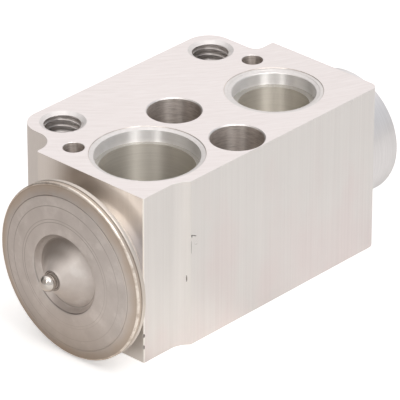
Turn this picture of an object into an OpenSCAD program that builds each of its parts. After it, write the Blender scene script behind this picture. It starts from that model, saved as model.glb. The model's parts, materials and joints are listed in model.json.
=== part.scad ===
// Block-type expansion valve for a refrigeration circuit.
// Millimetres, +Z up. The origin is on the base face, midway between the two ports.
// The valve's working axis runs along X, from the power head at -X to the boss at +X.

/* [Block] */
// Thickness of the block, from base face to top face
block_h = 34; // [30:0.5:40]
// Distance from the middle of the ports to the end face under the power head
head_end = 30.4; // [29.8:0.1:34]
// Distance from the middle of the ports to the end face with the boss
boss_end = 31.9; // [30.5:0.1:36]
// Distance from the port line to the front face
front_w = 13.2; // [12.8:0.1:16]
// Distance from the port line to the back face, behind the tapped holes
back_w = 26.1; // [25.6:0.1:30]
// Depth of the step in the front face beside the power head
recess_d = 1.7; // [0.6:0.1:2]
// Length of the stepped strip along the front face
recess_l = 7; // [4:0.5:9]
// Length of the cove that leads from the stepped strip to the front face
cove_l = 3.7; // [2:0.1:4]
// Radius of the front corner beside the boss
corner_front_r = 1.7; // [0.5:0.1:3]
// Radius of the two rounded corners at the back
corner_back_r = 5; // [3:0.1:5.6]
// Distance from the middle of the ports to the ear's end under the power head
ear_head = 24.9; // [24.2:0.1:26]
// Distance from the middle of the ports to the ear's end at the boss
ear_boss = 27.2; // [26.4:0.1:28]
// Height above the port line of the shoulder beside the ear under the power head
shoulder_head = 15.3; // [14.5:0.1:16]
// Height above the port line of the shoulder beside the ear at the boss
shoulder_boss = 13.5; // [13:0.1:15]
// Radius of the hollow beside the ear under the power head
hollow_head_r = 4.5; // [1:0.1:4.6]
// Radius of the hollow beside the ear at the boss
hollow_boss_r = 1.8; // [1:0.1:3]
// Chamfer on the two shoulders
shoulder_chamfer = 0.5; // [0.2:0.1:1]

/* [Boss] */
// Radius of the turned boss
boss_r = 12.5; // [11:0.1:13]
// Length of the boss beyond the end face
boss_l = 7.2; // [6:0.1:12]
// Chamfer on the boss's end
boss_chamfer = 0.8; // [0.3:0.1:1.5]

/* [Ports] */
// Distance between the centres of the two ports
port_pitch = 34.4; // [33.8:0.1:36]
// Radius of the suction port's counterbore
suction_seat_r = 9.85; // [9.5:0.05:10.2]
// Radius of the suction passage
suction_r = 9; // [8:0.1:9.3]
// Outer radius of the chamfer at the suction port's mouth
suction_mouth_r = 10.8; // [10.4:0.1:11]
// Depth of the suction port's mouth chamfer
suction_mouth_d = 0.35; // [0.3:0.05:1]
// Radius of the liquid port's counterbore
liquid_seat_r = 7.9; // [7.4:0.05:8.2]
// Radius of the liquid port's bore
liquid_r = 6.75; // [6:0.05:7.2]
// Outer radius of the shallow ring around the liquid port's mouth
liquid_mouth_r = 9.4; // [9:0.1:9.8]
// Radius at the inner edge of the shallow ring, where the chamfer starts
liquid_ring_r = 8.7; // [8.4:0.05:8.9]
// Depth of the shallow ring
liquid_ring_d = 0.15; // [0.1:0.05:0.3]
// Depth of the liquid port's mouth, ring and chamfer together
liquid_mouth_d = 0.45; // [0.4:0.05:1.3]
// Depth of both ports' counterbores
seat_d = 2.8; // [1.8:0.1:3.5]
// Wall left between the liquid ports' floors and the valve chamber
port_floor_wall = 1; // [0.8:0.1:1.5]

/* [Holes through the block] */
// Radius of the two bolt holes
bolt_r = 5.1; // [3.3:0.1:5.2]
// Place of the bolt holes along X
bolt_x = -1.5; // [-2:0.1:-1]
// Distance of the back bolt hole from the port line
bolt_back = 8; // [7.9:0.1:10]
// Distance of the front bolt hole from the port line
bolt_front = 7.8; // [7.5:0.1:7.9]
// Chamfer on the bolt holes
bolt_chamfer = 0.2; // [0.1:0.05:0.25]
// Radius of the two tapped holes, at their thread's crests
tap_r = 3.4; // [2.5:0.1:3.6]
// Outer radius of the tapped holes' countersinks
tap_sink_r = 4.4; // [3.8:0.1:4.6]
// Place along X of the tapped hole under the power head
tap_head_x = -18.75; // [-19.2:0.05:-18.2]
// Place along X of the tapped hole at the boss
tap_boss_x = 21.4; // [20.8:0.05:21.8]
// Distance of the tapped holes from the port line
tap_y = 19.95; // [19.6:0.05:20.4]
// Radius of the two dowel holes
dowel_r = 2; // [1.5:0.1:2.2]
// Depth of the dowel holes
dowel_d = 7; // [3:0.5:9]
// Place along X of the dowel hole under the power head
dowel_head_x = -24.7; // [-25.2:0.05:-24.4]
// Place along X of the dowel hole at the boss
dowel_boss_x = 23.75; // [23.4:0.05:24.4]
// Distance of the dowel holes from the port line
dowel_y = 11.4; // [11.2:0.05:11.8]

/* [Valve axis] */
// Height of the valve's axis above the base face
axis_z = 17.7; // [17.4:0.1:18.2]
// Radius of the tapped bore for the power head
neck_bore_r = 8.25; // [7.5:0.05:8.4]
// Radius of the pocket for the head O-ring
neck_pocket_r = 10.1; // [9.9:0.05:10.3]
// Depth of the pocket for the head O-ring
neck_pocket_d = 1.5; // [1.4:0.05:1.7]
// Radius of the bore that guides the push rod
guide_r = 1.25; // [1.1:0.05:1.5]
// Radius of the pocket for the rod O-ring
rod_pocket_r = 2.6; // [2.4:0.05:2.8]
// Length of the pocket for the rod O-ring, measured from the suction passage
rod_pocket_l = 2.6; // [2.4:0.1:2.8]
// Radius of the outlet cavity before the orifice
outlet_r = 3; // [2.4:0.1:3.4]
// Place along X where the outlet cavity starts
outlet_x = 3.5; // [3:0.1:5]
// Radius of the orifice
orifice_r = 1.7; // [1.5:0.05:1.9]
// Length of the orifice
orifice_l = 1.4; // [1:0.1:2]
// Place along X where the orifice opens into the seat
seat_x = 16; // [15.8:0.1:16.4]
// Width of the conical seat
seat_w = 1; // [0.8:0.1:1.2]
// Radius of the valve chamber
chamber_r = 6.5; // [6.2:0.1:6.6]
// Radius of the bore for the adjusting screw
screw_bore_r = 7.5; // [7.3:0.05:8]
// Length of the bore for the adjusting screw, from the boss's end
screw_bore_l = 10.1; // [9.6:0.1:10.8]
// Radius of the drilled way from the outlet cavity to the upper liquid port
outlet_drill_r = 1.9; // [1.4:0.05:2]
// Place along X of the drilled way to the upper liquid port
outlet_drill_x = 12.4; // [12.3:0.05:12.6]
// Radius of the drilled way from the lower liquid port to the chamber
inlet_drill_r = 2.2; // [1.6:0.05:2.4]
// Place along X of the drilled way from the lower liquid port
inlet_drill_x = 21.5; // [21:0.05:21.6]

/* [Power head] */
// Radius of the power head's rim
head_r = 17.3; // [17:0.1:17.6]
// Distance from the block's end face to the front of the rim
head_reach = 7.5; // [7.2:0.1:9]
// Thickness of the cap's flange at the rim
cap_flange_t = 0.95; // [0.8:0.05:1.2]
// Thickness of the housing's flange at the rim
housing_flange_t = 0.95; // [0.8:0.05:1.2]
// Thickness of the cap's sheet
cap_t = 0.8; // [0.6:0.05:0.9]
// Height of the cap's dome above the rim
dome_h = 1.3; // [1:0.1:1.8]
// Radius where the bevelled rim meets the dome
bevel_r = 15.1; // [14.6:0.1:15.5]
// Height of the bevelled rim
bevel_h = 0.55; // [0.3:0.05:0.8]
// Radius of the bowl in the middle of the cap
bowl_r = 7.7; // [7.4:0.1:8.4]
// Radius of the bowl's floor
bowl_floor_r = 6.9; // [6.7:0.05:7]
// Height of the nub above the bowl's floor
nub_h = 4.3; // [3:0.1:5]
// Radius of the nub at its foot
nub_foot_r = 6.6; // [6:0.1:6.7]
// Radius of the nub at its top
nub_top_r = 1.9; // [1.7:0.1:2.4]
// Radius of the filling hole in the nub
fill_r = 0.6; // [0.4:0.05:0.9]
// Radius of the charge ball
charge_ball_r = 1.6; // [1.4:0.05:1.8]
// Depth to which the charge ball is sunk in the nub
charge_ball_sink = 0.6; // [0.4:0.05:0.8]
// Thickness of the diaphragm
diaphragm_t = 0.2; // [0.15:0.01:0.25]
// Depth of the diaphragm's edge behind the rim
diaphragm_edge = 0.35; // [0.1:0.05:0.6]
// Radius inside which the diaphragm is free
free_r = 12.6; // [12.3:0.1:13]
// Radius of the housing's shell behind its flange
shell_r = 14.6; // [14:0.1:15.2]
// Radius of the housing's shoulder on the block
shoulder_r = 11; // [10.8:0.1:11.3]
// Length of the neck's thread, from the block's end face
neck_l = 5.2; // [4.8:0.1:6.4]
// Radius of the gas way through the neck
gas_r = 5.5; // [5:0.1:6]
// Section radius of the head O-ring
head_ring_r = 0.72; // [0.6:0.01:0.73]

/* [Valve train] */
// Distance the valve opens
lift = 0.8; // [0.5:0.05:1]
// Radius of the follower's disc
follower_r = 11.5; // [10:0.1:11.8]
// Thickness of the follower's disc
follower_t = 1.3; // [1:0.1:1.6]
// Radius of the follower's hub
hub_r = 4.4; // [4:0.1:4.8]
// Length of the follower's hub behind the disc
hub_l = 1.8; // [1.2:0.1:2.4]
// Depth of the sensing shaft's socket in the follower
socket_d = 2.2; // [1.6:0.1:2.4]
// Radius of the sensing shaft, which stands in the suction gas
shaft_r = 2.8; // [2.2:0.1:3.2]
// Length of the cone at the sensing shaft's end
shaft_cone_l = 1.6; // [0.8:0.1:2.4]
// Radius of the push rod, which passes between the bolt holes
rod_r = 1.2; // [1:0.05:1.2]
// Depth to which the push rod seats in the sensing shaft
rod_seat_d = 5; // [3:0.5:8]
// Radius of the valve ball
ball_r = 2.5; // [2.4:0.05:2.6]
// Radius of the carrier's disc
carrier_r = 4.4; // [4:0.1:4.8]
// Thickness of the carrier's disc
carrier_t = 2; // [1.6:0.1:2.6]
// Distance from the ball's centre to the carrier's front
carrier_set = 0.7; // [0.5:0.05:1]
// Radius of the carrier's stem inside the spring
stem_r = 2.2; // [1.8:0.1:2.5]
// Length of the carrier's stem
stem_l = 3.6; // [2.5:0.1:4.5]
// Sheet thickness of the damper
damper_t = 0.3; // [0.2:0.05:0.4]
// Length of the damper's legs
damper_leg_l = 4.6; // [3:0.1:5.5]
// Angle that each damper leg covers
damper_leg_angle = 26; // [16:1:40]
// Number of damper legs
damper_legs = 4; // [3:1:6]

/* [Spring and adjusting screw] */
// Radius of the spring's wire
wire_r = 0.5; // [0.4:0.05:0.55]
// Mean radius of the spring's coils
coil_r = 3.7; // [3.4:0.05:3.8]
// Number of open coils
open_coils = 4; // [3:1:6]
// Length of the adjusting screw
screw_l = 7.5; // [7:0.1:8]
// Depth of the screw's outer face inside the boss
screw_set = 1.1; // [1.05:0.05:1.5]
// Radius of the spring's pocket in the screw
screw_pocket_r = 4.6; // [4.4:0.05:4.8]
// Depth of the spring's pocket in the screw
screw_pocket_d = 3; // [2:0.1:3.2]
// Width across the flats of the hexagon socket
hex_af = 5; // [4:0.5:6]
// Depth of the hexagon socket
hex_d = 2.8; // [2:0.1:3]
// Distance of the O-ring groove from the screw's inner end
groove_set = 0.8; // [0.5:0.1:1.2]
// Width of the screw's O-ring groove
groove_w = 1.6; // [1.5:0.1:1.8]
// Depth of the screw's O-ring groove
groove_d = 1.35; // [1.3:0.05:1.4]
// Section radius of the adjuster O-ring
screw_ring_r = 0.66; // [0.6:0.01:0.67]

/* [Hidden] */
$fn = 96;

// Overshoot that lets a cutter pass a face
over = 1;
// Running clearance, radial
run = 0.05;
// Gap left between pieces that rest on each other with round faces
touch = 0.02;
port_x = port_pitch / 2;

// Stations along the valve's axis
end_x = -head_end;
rim_x = end_x - head_reach;
clamp_x = rim_x + cap_flange_t;
flange_x = clamp_x + diaphragm_t;
shell_x = flange_x + housing_flange_t;
boss_x = boss_end + boss_l;
passage_x = -port_x + suction_r;
rod_pocket_x = passage_x + rod_pocket_l;
chamber_x = seat_x + seat_w;

// The ball touches the 45 degree seat at the orifice side when shut, and rests open by the lift
ball_shut_x = seat_x - orifice_r + ball_r * sqrt(2);
ball_x = ball_shut_x + lift + run;

// The follower rests one running clearance from its stop when the valve is open
stop_x = flange_x + diaphragm_t + lift + follower_t + run;
follower_x = stop_x - run - follower_t;
shaft_x = follower_x + follower_t + hub_l - socket_d;
shaft_end_x = passage_x - run - 1;
rod_x = shaft_end_x - rod_seat_d;
rod_end_x = ball_x - ball_r - touch;
carrier_x = ball_x + carrier_set;
damper_x = carrier_x + carrier_t + touch;
spring_x = damper_x + damper_t + touch;
screw_out_x = boss_x - screw_set;
screw_in_x = screw_out_x - screw_l;
spring_end_x = screw_in_x + screw_pocket_d - touch;
bowl_floor_x = rim_x;
nub_x = bowl_floor_x - nub_h;
charge_x = nub_x - charge_ball_r + charge_ball_sink;

// Points of an arc about a centre, from one angle to another
function arc(c, r, a0, a1, n) =
    [for (i = [0:n]) c + r * [cos(a0 + (a1 - a0) * i / n), sin(a0 + (a1 - a0) * i / n)]];

// Turns a profile drawn as radius and station about the valve's axis
module turned(a = 360) {
    translate([0, 0, axis_z])
        rotate([0, 90, 0])
            rotate_extrude(angle = a)
                children();
}

// Round bar or bore on the valve's axis, from one station to another
module axial(x0, x1, r) {
    translate([x0, 0, axis_z])
        rotate([0, 90, 0])
            cylinder(h = x1 - x0, r = r);
}

// Ring of round section on the valve's axis
module axial_ring(x, mean_r, section_r) {
    turned()
        translate([mean_r, x])
            circle(r = section_r, $fn = 32);
}

// Ball on the valve's axis
module axial_ball(x, r) {
    translate([x, 0, axis_z])
        sphere(r = r);
}

// Hollow beside an ear: a square web with a round cut, for side -1 or 1
module ear_web(side, ear, shoulder, r) {
    translate([side * ear, shoulder])
        difference() {
            translate([side > 0 ? 0 : -r, 0])
                square([r, r]);
            translate([side * r, r])
                circle(r = r);
        }
}

// Outline of the extruded bar, seen from above
module block_outline() {
    cove_r = (cove_l * cove_l + recess_d * recess_d) / (2 * recess_d);
    difference() {
        union() {
            polygon([
                [-head_end, -front_w],
                [boss_end - corner_front_r, -front_w],
                [boss_end, -front_w + corner_front_r],
                [boss_end, shoulder_boss - shoulder_chamfer],
                [boss_end - shoulder_chamfer, shoulder_boss],
                [0, shoulder_boss],
                [0, shoulder_head],
                [shoulder_chamfer - head_end, shoulder_head],
                [-head_end, shoulder_head - shoulder_chamfer]
            ]);
            translate([boss_end - corner_front_r, corner_front_r - front_w])
                circle(r = corner_front_r);
            translate([-ear_head, 0])
                square([ear_head + ear_boss, back_w - corner_back_r]);
            translate([corner_back_r - ear_head, 0])
                square([ear_head + ear_boss - 2 * corner_back_r, back_w]);
            for (x = [corner_back_r - ear_head, ear_boss - corner_back_r])
                translate([x, back_w - corner_back_r])
                    circle(r = corner_back_r);
            ear_web(-1, ear_head, shoulder_head, hollow_head_r);
            ear_web(1, ear_boss, shoulder_boss, hollow_boss_r);
        }
        translate([-head_end - over, -front_w - over])
            square([recess_l + over, recess_d + over]);
        translate([recess_l - head_end, recess_d - front_w - cove_r])
            circle(r = cove_r);
    }
}

// Suction passage, open to both faces, with a counterbore and a chamfer at each
module suction_cut() {
    top = [
        [0, -over],
        [suction_r, -over],
        [suction_r, block_h - seat_d],
        [suction_seat_r, block_h - seat_d],
        [suction_seat_r, block_h - suction_mouth_d],
        [suction_mouth_r, block_h],
        [suction_mouth_r, block_h + over],
        [0, block_h + over]
    ];
    translate([-port_x, 0, 0]) {
        rotate_extrude() polygon(top);
        translate([0, 0, block_h])
            mirror([0, 0, 1])
                rotate_extrude() polygon(top);
    }
}

// Liquid port from the top face down to its floor: ring, chamfer, counterbore and bore
module liquid_cut(floor_z) {
    rotate_extrude()
        polygon([
            [0, floor_z],
            [liquid_r, floor_z],
            [liquid_r, block_h - seat_d],
            [liquid_seat_r, block_h - seat_d],
            [liquid_seat_r, block_h - liquid_mouth_d],
            [liquid_ring_r, block_h - liquid_ring_d],
            [liquid_mouth_r - liquid_ring_d, block_h - liquid_ring_d],
            [liquid_mouth_r, block_h],
            [liquid_mouth_r, block_h + over],
            [0, block_h + over]
        ]);
}

// Through hole with a chamfer at both faces
module chamfered_hole(x, y, r, mouth_r) {
    c = mouth_r - r;
    translate([x, y, 0])
        rotate_extrude()
            polygon([
                [0, -over],
                [mouth_r + over, -over],
                [r, c],
                [r, block_h - c],
                [mouth_r + over, block_h + over],
                [0, block_h + over]
            ]);
}

// Bores on the valve's axis, from the power head's side to the boss's end
module axis_cuts() {
    axial(end_x - over, -port_x, neck_bore_r);
    axial(end_x - over, end_x + neck_pocket_d, neck_pocket_r);
    axial(-port_x, rod_pocket_x, rod_pocket_r);
    axial(rod_pocket_x - over, outlet_x + over, guide_r);
    axial(outlet_x, seat_x - orifice_l, outlet_r);
    axial(seat_x - orifice_l - over, seat_x + touch, orifice_r);
    turned()
        polygon([
            [0, seat_x],
            [orifice_r, seat_x],
            [orifice_r + seat_w, chamber_x],
            [chamber_r, chamber_x],
            [chamber_r, boss_x - screw_bore_l],
            [screw_bore_r, boss_x - screw_bore_l],
            [screw_bore_r, boss_x - boss_chamfer],
            [screw_bore_r + boss_chamfer, boss_x],
            [screw_bore_r + boss_chamfer, boss_x + over],
            [0, boss_x + over]
        ]);
}

// Block and boss, one piece: extruded bar, machined all over, with its ports and bores
module valve_body() {
    upper_floor = axis_z + chamber_r + port_floor_wall;
    lower_floor = axis_z - chamber_r - port_floor_wall;
    color([0.86, 0.84, 0.82])
        difference() {
            union() {
                linear_extrude(block_h) block_outline();
                turned()
                    polygon([
                        [0, 0],
                        [boss_r, 0],
                        [boss_r, boss_x - boss_chamfer],
                        [boss_r - boss_chamfer, boss_x],
                        [0, boss_x]
                    ]);
            }
            suction_cut();
            translate([port_x, 0, 0]) liquid_cut(upper_floor);
            translate([port_x, 0, block_h])
                mirror([0, 0, 1])
                    liquid_cut(block_h - lower_floor);
            chamfered_hole(bolt_x, bolt_back, bolt_r, bolt_r + bolt_chamfer);
            chamfered_hole(bolt_x, -bolt_front, bolt_r, bolt_r + bolt_chamfer);
            for (x = [tap_head_x, tap_boss_x])
                chamfered_hole(x, tap_y, tap_r, tap_sink_r);
            for (x = [dowel_head_x, dowel_boss_x])
                translate([x, dowel_y, block_h - dowel_d])
                    cylinder(h = dowel_d + over, r = dowel_r);
            axis_cuts();
            translate([outlet_drill_x, 0, axis_z])
                cylinder(h = upper_floor + over - axis_z, r = outlet_drill_r);
            translate([inlet_drill_x, 0, lower_floor - over])
                cylinder(h = axis_z + over - lower_floor, r = inlet_drill_r);
        }
}

// Pressed cover of the power head: rim, bevel, dome, bowl and nub with its filling hole
module head_cap() {
    edge = 0.3;
    dome_x = rim_x - dome_h;
    bevel_x = rim_x - bevel_h;
    roll = 0.35;
    rise = (dome_h - bevel_h) / (bevel_r - bowl_r);
    color([0.67, 0.63, 0.6])
        difference() {
            turned()
                polygon(concat(
                    [[free_r, clamp_x], [head_r, clamp_x]],
                    arc([head_r - edge, rim_x + edge], edge, 0, -90, 4),
                    [
                        [bevel_r + 0.25, bevel_x + 0.1],
                        [bevel_r, bevel_x],
                        [bevel_r - 4, bevel_x - rise * 4.6],
                        [bowl_r + roll, dome_x]
                    ],
                    [
                        [bowl_r, dome_x + roll * 0.5],
                        [bowl_floor_r + roll, bowl_floor_x - roll * 0.5],
                        [bowl_floor_r, bowl_floor_x],
                        [nub_foot_r, bowl_floor_x],
                        [nub_top_r + 0.5, nub_x + 0.6],
                        [nub_top_r, nub_x],
                        [0, nub_x],
                        [0, nub_x + 1.6],
                        [nub_foot_r - 1.4, bowl_floor_x + cap_t],
                        [bowl_floor_r + 0.2, bowl_floor_x + cap_t],
                        [bowl_r + 0.4, dome_x + cap_t + 0.3],
                        [bevel_r - 4, bevel_x - rise * 3.6 + cap_t],
                        [free_r - 0.6, bevel_x + cap_t]
                    ]
                ));
            axial(nub_x - over, bowl_floor_x + over, fill_r);
            axial_ball(charge_x, charge_ball_r + touch);
        }
}

// Steel ball that closes the filling hole
module charge_ball() {
    color([0.78, 0.77, 0.75])
        axial_ball(charge_x, charge_ball_r);
}

// Thin disc with one corrugation, dished down on to the follower
module diaphragm() {
    flat_r = follower_r - 2;
    flat_x = follower_x - diaphragm_t;
    ridge_r = (flat_r + free_r) / 2;
    upper = [
        [0, flat_x],
        [flat_r, flat_x],
        [ridge_r - 0.6, flat_x - 0.05],
        [ridge_r, flat_x - 0.45],
        [ridge_r + 0.6, flat_x - 0.4],
        [free_r, clamp_x],
        [head_r - diaphragm_edge, clamp_x]
    ];
    color([0.7, 0.7, 0.68])
        turned()
            polygon(concat(upper, [for (i = [len(upper) - 1:-1:0]) upper[i] + [0, diaphragm_t]]));
}

// Lower shell of the power head: flange, shell, shoulder and threaded neck
module head_housing() {
    neck_r = neck_bore_r - run;
    edge = 0.3;
    color([0.66, 0.63, 0.6])
        turned()
            polygon(concat(
                [[free_r, flange_x], [head_r, flange_x]],
                arc([head_r - edge, shell_x - edge], edge, 0, 90, 4),
                [
                    [shell_r + 0.5, shell_x],
                    [shell_r, shell_x + 0.5],
                    [shell_r - 0.6, shell_x + 2.2],
                    [shoulder_r + 0.8, end_x - 1.9],
                    [shoulder_r, end_x - 1.5],
                    [shoulder_r, end_x],
                    [neck_r, end_x],
                    [neck_r, end_x + neck_l - 0.5],
                    [neck_r - 0.5, end_x + neck_l],
                    [gas_r, end_x + neck_l],
                    [gas_r, stop_x],
                    [free_r - 0.4, stop_x]
                ]
            ));
}

// Rubber ring that seals the neck in its pocket
module head_oring() {
    color([0.12, 0.12, 0.13])
        axial_ring(end_x + neck_pocket_d / 2, (neck_bore_r - run + neck_pocket_r) / 2, head_ring_r);
}

// Stop disc under the diaphragm, with a hub that carries the sensing shaft
module follower() {
    x1 = follower_x + follower_t;
    color([0.72, 0.7, 0.66])
        turned()
            polygon([
                [0, follower_x + touch],
                [follower_r - 0.3, follower_x + touch],
                [follower_r, follower_x + 0.3],
                [follower_r, x1],
                [hub_r, x1],
                [hub_r, x1 + hub_l],
                [shaft_r + touch, x1 + hub_l],
                [shaft_r + touch, shaft_x - touch],
                [0, shaft_x - touch]
            ]);
}

// Shaft that takes up the suction gas's heat, with a socket for the push rod
module sensing_shaft() {
    bore_r = rod_r + touch;
    wall_r = bore_r + 0.5;
    color([0.84, 0.82, 0.79])
        turned()
            polygon([
                [0, shaft_x],
                [shaft_r - 0.3, shaft_x],
                [shaft_r, shaft_x + 0.3],
                [shaft_r, shaft_end_x - shaft_cone_l],
                [wall_r, shaft_end_x],
                [bore_r, shaft_end_x],
                [bore_r, rod_x - touch],
                [0, rod_x - touch]
            ]);
}

// Thin rod from the sensing shaft's socket to the ball
module push_rod() {
    color([0.75, 0.74, 0.72])
        turned()
            polygon([
                [0, rod_x],
                [rod_r - 0.2, rod_x],
                [rod_r, rod_x + 0.2],
                [rod_r, rod_end_x - 0.2],
                [rod_r - 0.2, rod_end_x],
                [0, rod_end_x]
            ]);
}

// Rubber ring around the push rod
module rod_oring() {
    ring_r = (rod_pocket_r - guide_r) / 2 - touch;
    color([0.12, 0.12, 0.13])
        axial_ring(rod_pocket_x - ring_r - touch, (rod_pocket_r + guide_r) / 2, ring_r);
}

// Washer that keeps the rod's ring in its pocket
module rod_retainer() {
    retainer_t = 0.7;
    ring_l = rod_pocket_r - guide_r;
    x = rod_pocket_x - ring_l - retainer_t;
    color([0.8, 0.78, 0.72])
        difference() {
            axial(x, x + retainer_t, rod_pocket_r - touch);
            axial(x - over, x + retainer_t + over, guide_r + run);
        }
}

// Ball that closes the orifice
module valve_ball() {
    color([0.8, 0.8, 0.8])
        axial_ball(ball_x, ball_r);
}

// Seat for the ball and for the spring's end, with a stem inside the spring
module ball_carrier() {
    color([0.74, 0.73, 0.7])
        difference() {
            turned()
                polygon([
                    [0, carrier_x],
                    [carrier_r - 0.4, carrier_x],
                    [carrier_r, carrier_x + 0.4],
                    [carrier_r, carrier_x + carrier_t],
                    [stem_r, carrier_x + carrier_t],
                    [stem_r, carrier_x + carrier_t + stem_l - 0.4],
                    [stem_r - 0.4, carrier_x + carrier_t + stem_l],
                    [0, carrier_x + carrier_t + stem_l]
                ]);
            axial_ball(ball_x, ball_r + touch);
        }
}

// Sheet ring with legs that rub on the chamber's wall and stop the ball from chattering
module damper() {
    out_r = chamber_r - 2 * run;
    color([0.8, 0.76, 0.66])
        union() {
            difference() {
                axial(damper_x, damper_x + damper_t, coil_r + wire_r);
                axial(damper_x - over, damper_x + over, stem_r + run);
            }
            for (i = [0:damper_legs - 1])
                translate([0, 0, axis_z])
                    rotate([45 + i * 360 / damper_legs, 0, 0])
                        translate([0, 0, -axis_z])
                            turned(damper_leg_angle)
                                polygon([
                                    [stem_r + 1, damper_x],
                                    [out_r, damper_x],
                                    [out_r, damper_x + damper_leg_l],
                                    [out_r - damper_t, damper_x + damper_leg_l],
                                    [out_r - damper_t, damper_x + damper_t],
                                    [stem_r + 1, damper_x + damper_t]
                                ]);
        }
}

// Coil spring with one closed coil at each end
module valve_spring() {
    sides = 8;
    steps = 20;
    turns = open_coils + 2;
    len_x = spring_end_x - spring_x - 2 * wire_r;
    pitch = (len_x - 4 * wire_r - 2 * touch) / open_coils;
    closed = 2 * wire_r + touch;
    function station(t) =
        t < 1 ? closed * t
        : t > turns - 1 ? len_x - closed * (turns - t)
        : closed + pitch * (t - 1);
    rings = [
        for (i = [0:turns * steps])
            let (t = i / steps, a = 360 * t)
                [for (j = [0:sides - 1])
                    let (b = 360 * j / sides, r = coil_r + wire_r * cos(b))
                        [
                            spring_x + wire_r + station(t) + wire_r * sin(b),
                            r * cos(a),
                            r * sin(a) + axis_z
                        ]]
    ];
    last = len(rings) - 1;
    points = [for (ring = rings) for (p = ring) p];
    walls = [
        for (i = [0:last - 1])
            for (j = [0:sides - 1])
                let (k = (j + 1) % sides)
                    [i * sides + j, i * sides + k, (i + 1) * sides + k, (i + 1) * sides + j]
    ];
    caps = [
        [for (j = [sides - 1:-1:0]) j],
        [for (j = [0:sides - 1]) last * sides + j]
    ];
    color([0.62, 0.6, 0.58])
        polyhedron(points = points, faces = concat(walls, caps));
}

// Screw that closes the boss and sets the spring, with a hexagon socket
module adjusting_screw() {
    r = screw_bore_r - run;
    g0 = screw_in_x + groove_set;
    g1 = g0 + groove_w;
    color([0.78, 0.66, 0.36])
        difference() {
            turned()
                polygon([
                    [screw_pocket_r, screw_in_x],
                    [r - 0.3, screw_in_x],
                    [r, screw_in_x + 0.3],
                    [r, g0],
                    [r - groove_d, g0],
                    [r - groove_d, g1],
                    [r, g1],
                    [r, screw_out_x - 0.4],
                    [r - 0.4, screw_out_x],
                    [0, screw_out_x],
                    [0, screw_in_x + screw_pocket_d],
                    [screw_pocket_r, screw_in_x + screw_pocket_d]
                ]);
            translate([screw_out_x - hex_d, 0, axis_z])
                rotate([0, 90, 0])
                    cylinder(h = hex_d + over, r = hex_af / sqrt(3), $fn = 6);
        }
}

// Rubber ring in the screw's groove
module adjuster_oring() {
    outer = screw_bore_r - run;
    color([0.12, 0.12, 0.13])
        axial_ring(screw_in_x + groove_set + groove_w / 2, outer - screw_ring_r, screw_ring_r);
}

valve_body();
head_cap();
charge_ball();
diaphragm();
head_housing();
head_oring();
follower();
sensing_shaft();
push_rod();
rod_oring();
rod_retainer();
valve_ball();
ball_carrier();
damper();
valve_spring();
adjusting_screw();
adjuster_oring();
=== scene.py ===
import json
import math

import bmesh
import bpy
from mathutils import Matrix, Vector


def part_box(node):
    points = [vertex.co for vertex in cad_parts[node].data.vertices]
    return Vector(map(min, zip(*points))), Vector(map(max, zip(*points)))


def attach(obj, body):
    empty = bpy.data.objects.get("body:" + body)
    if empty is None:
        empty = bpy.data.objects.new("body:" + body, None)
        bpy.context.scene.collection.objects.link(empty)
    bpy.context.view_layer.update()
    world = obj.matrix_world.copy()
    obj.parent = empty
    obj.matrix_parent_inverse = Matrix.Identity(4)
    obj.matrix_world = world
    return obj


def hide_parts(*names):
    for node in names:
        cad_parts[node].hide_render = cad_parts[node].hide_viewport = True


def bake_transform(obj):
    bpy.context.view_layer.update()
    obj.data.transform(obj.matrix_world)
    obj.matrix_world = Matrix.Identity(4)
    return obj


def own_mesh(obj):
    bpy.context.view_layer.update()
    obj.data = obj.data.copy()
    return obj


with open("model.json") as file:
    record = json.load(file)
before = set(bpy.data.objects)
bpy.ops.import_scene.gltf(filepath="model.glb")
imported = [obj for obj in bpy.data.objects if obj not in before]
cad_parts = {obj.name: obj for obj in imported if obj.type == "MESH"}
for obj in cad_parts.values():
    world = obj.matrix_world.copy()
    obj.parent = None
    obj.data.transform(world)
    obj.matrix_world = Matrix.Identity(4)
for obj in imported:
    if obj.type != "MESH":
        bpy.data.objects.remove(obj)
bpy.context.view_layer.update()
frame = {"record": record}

# Camera. A long lens from above the power head's corner, as in the photo. The small roll is the photo's own.
# Sizes in this file are millimetres, and mm turns them into metres where a piece is made.
mm = 0.001
view_azimuth = -47.19
view_elevation = 28.59
view_roll = 0.09
view_distance = 826.0
view_target = Vector((1.12, 3.87, 15.58))


def put_in_scene(name, data):
    """New object with the given data, linked to the scene."""
    made = bpy.data.objects.new(name, data)
    bpy.context.scene.collection.objects.link(made)
    return made


camera = put_in_scene("camera", bpy.data.cameras.new("camera"))
bpy.context.scene.camera = camera
camera.data.lens = 397.43
camera.data.sensor_width = 36.0
camera.data.clip_start = 100 * mm
camera.data.clip_end = 20000 * mm
turn = (
    Matrix.Rotation(math.radians(view_azimuth), 4, "Z")
    @ Matrix.Rotation(math.radians(90 - view_elevation), 4, "X")
    @ Matrix.Rotation(math.radians(view_roll), 4, "Z")
)
back = turn @ Vector((0, 0, 1))
camera.matrix_world = Matrix.Translation((view_target + back * view_distance) * mm) @ turn

# Light. A broad softbox overhead, a narrow key to the camera's right and a weaker one to its left. The room
# behind the object is darker, which gives the bored walls and the boss their bands.
bpy.context.scene.view_settings.view_transform = "Standard"


def compass(azimuth, elevation):
    """Direction at an angle from +X and a height angle."""
    a, e = math.radians(azimuth), math.radians(elevation)
    return Vector((math.cos(a) * math.cos(e), math.sin(a) * math.cos(e), math.sin(e)))


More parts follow.
